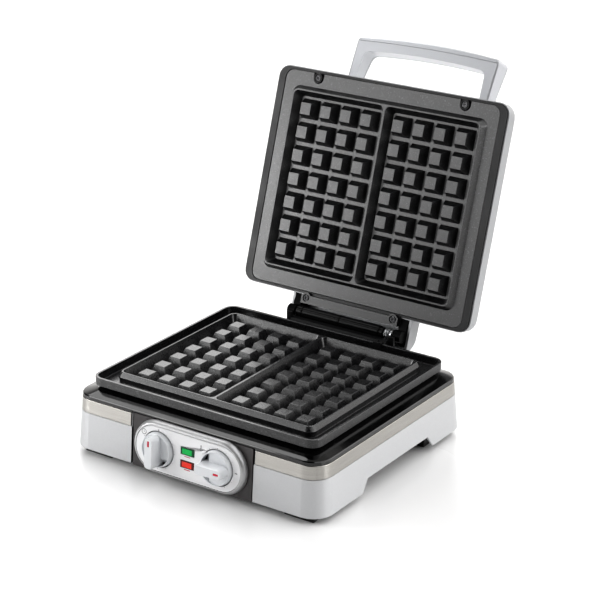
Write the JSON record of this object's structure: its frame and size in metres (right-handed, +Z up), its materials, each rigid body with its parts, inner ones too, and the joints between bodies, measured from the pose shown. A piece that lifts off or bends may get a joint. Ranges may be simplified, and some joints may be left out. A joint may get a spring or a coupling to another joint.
{
  "type": "waffle maker",
  "caption": "Double electric waffle maker with deep stud plates, a hinged lid with a loop handle, and two dials with lamps on the front.",
  "frame": {"origin": "centre of the footprint of the whole appliance with its lid open, on the surface it stands on", "axes": "+Z up, front (controls) towards -Y, hinge towards +Y, +X to the right seen from the front"},
  "size_m": [0.2738, 0.4282, 0.3173],
  "materials": {
    "silver_plastic": "satin silver-grey plastic with a fine sparkle",
    "trim_steel": "brushed stainless steel, warm tone",
    "inner_steel": "plain sheet steel",
    "panel_steel": "brushed stainless steel",
    "chrome_ring": "bright bevelled ring",
    "black_gloss": "glossy black plastic",
    "black_matt": "satin black plastic",
    "anthracite": "satin dark grey plastic",
    "non_stick": "dark grey non-stick coating on cast aluminium",
    "strip_grey": "satin grey coating",
    "fascia_white": "silver-white printed fascia",
    "rubber": "black rubber",
    "zinc": "zinc-plated or bare steel",
    "green_lens": "translucent green lens",
    "red_lens": "translucent red lens",
    "lamp_glass": "clear neon lamp glass",
    "beige": "moulded insulating plastic",
    "mark_red": "red filled pointer mark"
  },
  "bodies": {
    "base": {"base_housing": "silver_plastic", "steel_trim_band": "trim_steel", "deck_bezel": "black_gloss", "bottom_cover": "black_matt", "rubber_foot_1": "rubber", "rubber_foot_2": "rubber", "rubber_foot_3": "rubber", "rubber_foot_4": "rubber", "bottom_screw_1": "zinc", "bottom_screw_2": "zinc", "bottom_screw_3": "zinc", "bottom_screw_4": "zinc", "cord_gland": "black_matt", "terminal_block": "beige", "lower_plate": "non_stick", "lower_heating_element": "zinc", "lower_heat_reflector": "inner_steel", "thermostat_sensor": "zinc", "hinge_base": "black_matt", "hinge_barrel_end": "black_matt", "hinge_barrel_left": "black_matt", "hinge_barrel_right": "black_matt", "hinge_barrel_ring": "black_matt", "hinge_washer": "zinc", "plate_clip": "black_matt", "hinge_spring": "zinc", "hinge_pin": "zinc", "front_panel": "anthracite", "control_bezel": "chrome_ring", "control_fascia": "fascia_white", "green_lens": "green_lens", "red_lens": "red_lens", "green_lamp": "lamp_glass", "red_lamp": "lamp_glass", "timer_unit": "beige", "thermostat_unit": "beige"},
    "lid": {"lid_cover": "silver_plastic", "lid_panel": "panel_steel", "lid_rim": "black_matt", "upper_plate": "non_stick", "upper_heating_element": "zinc", "upper_heat_reflector": "inner_steel", "hinge_strip": "strip_grey", "hinge_arm_left": "black_matt", "hinge_arm_right": "black_matt", "far_screw_left": "zinc", "far_screw_right": "zinc", "near_screw_left": "zinc", "near_screw_right": "zinc", "handle": "silver_plastic", "handle_strip": "silver_plastic", "handle_back": "silver_plastic"},
    "timer_dial": {"timer_knob": "silver_plastic", "timer_shaft": "zinc", "timer_mark": "mark_red"},
    "thermostat_dial": {"thermostat_knob": "silver_plastic", "thermostat_shaft": "zinc", "thermostat_mark": "mark_red"}
  },
  "joints": [
    {"name": "lid_hinge", "type": "hinge", "parent": "base", "child": "lid", "pos_m": [0, 0.05071, 0.0743], "axis": [1, 0, 0], "range_deg": [0, 108]},
    {"name": "timer_turn", "type": "hinge", "parent": "base", "child": "timer_dial", "pos_m": [-0.0322, -0.19281, 0.0302], "axis": [0, 0.9964, -0.0844], "range_deg": [0, 300]},
    {"name": "thermostat_turn", "type": "hinge", "parent": "base", "child": "thermostat_dial", "pos_m": [0.0322, -0.19281, 0.0302], "axis": [0, 0.9964, -0.0844], "range_deg": [-223, 47]}
  ]
}
